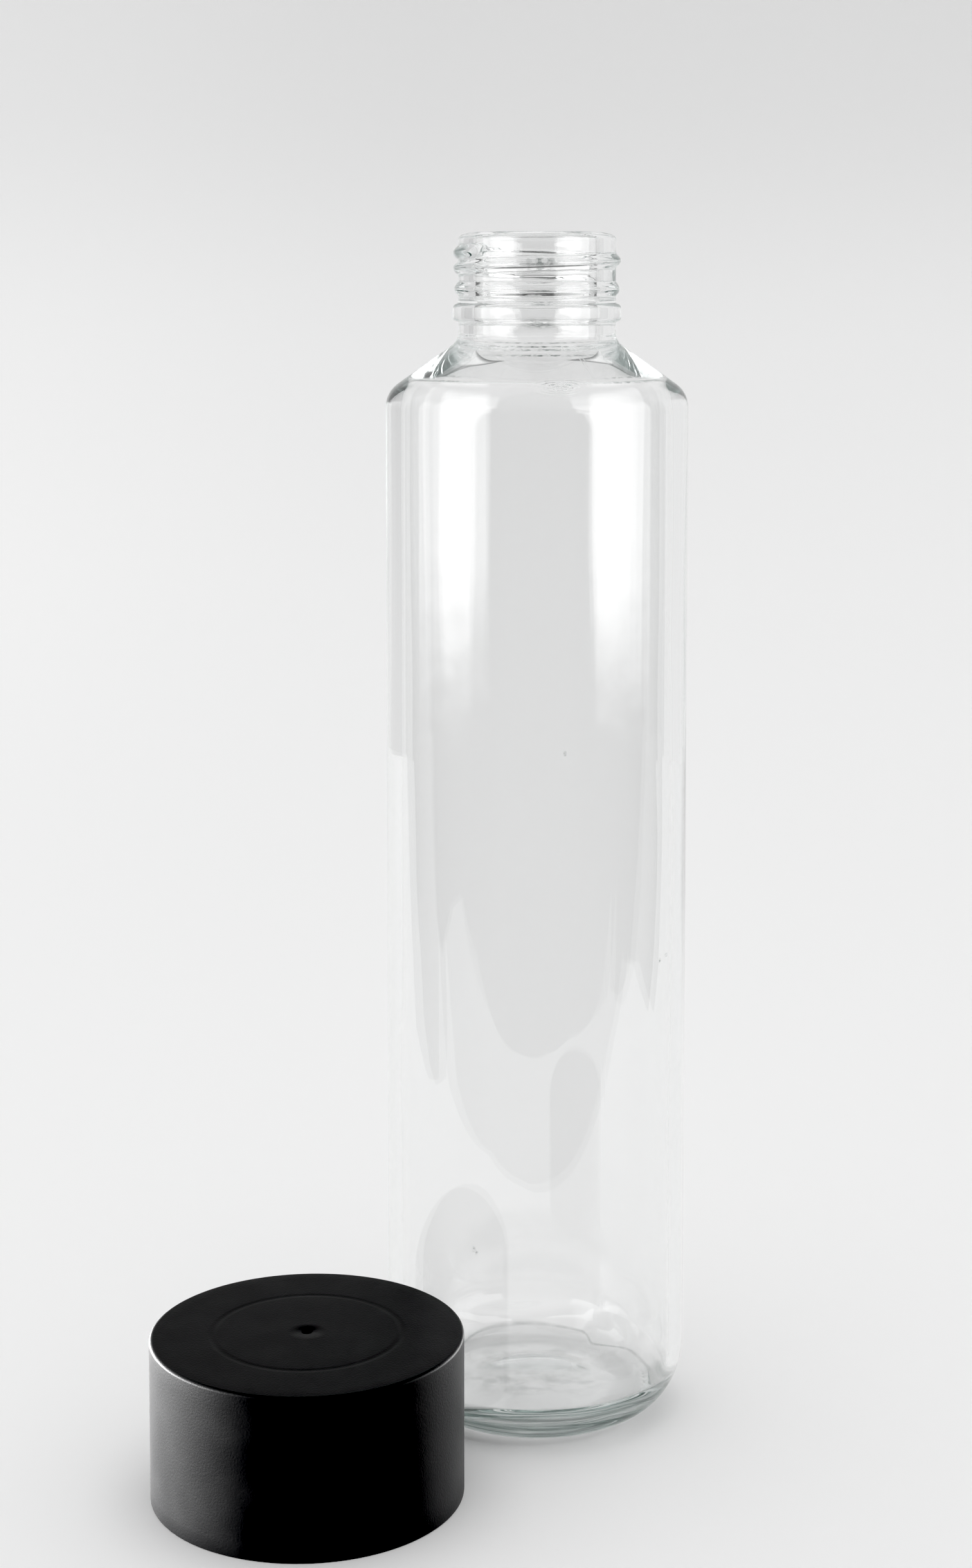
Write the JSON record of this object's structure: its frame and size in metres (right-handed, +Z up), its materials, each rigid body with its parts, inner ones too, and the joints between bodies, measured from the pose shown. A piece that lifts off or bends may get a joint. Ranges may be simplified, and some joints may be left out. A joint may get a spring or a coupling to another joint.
{
  "type": "tubular glass bottle",
  "caption": "Clear, straight-sided cylindrical glass bottle, open and empty, with a sloped shoulder and a threaded neck, and its wide black screw cap standing beside it.",
  "frame": {"origin": "on the standing plane, under the middle of the box round the bottle and its cap", "axes": "+Z up along the bottle; -Y towards the viewer, with the cap standing to the left of the bottle (-X) and nearer the viewer"},
  "size_m": [0.1086, 0.1072, 0.2485],
  "materials": {
    "glass": "clear, polished, faintly green in thick places",
    "cap_plastic": "black, satin, injection moulded"
  },
  "bodies": {
    "root": {"bottle": "glass", "cap": "cap_plastic"}
  },
  "joints": []
}
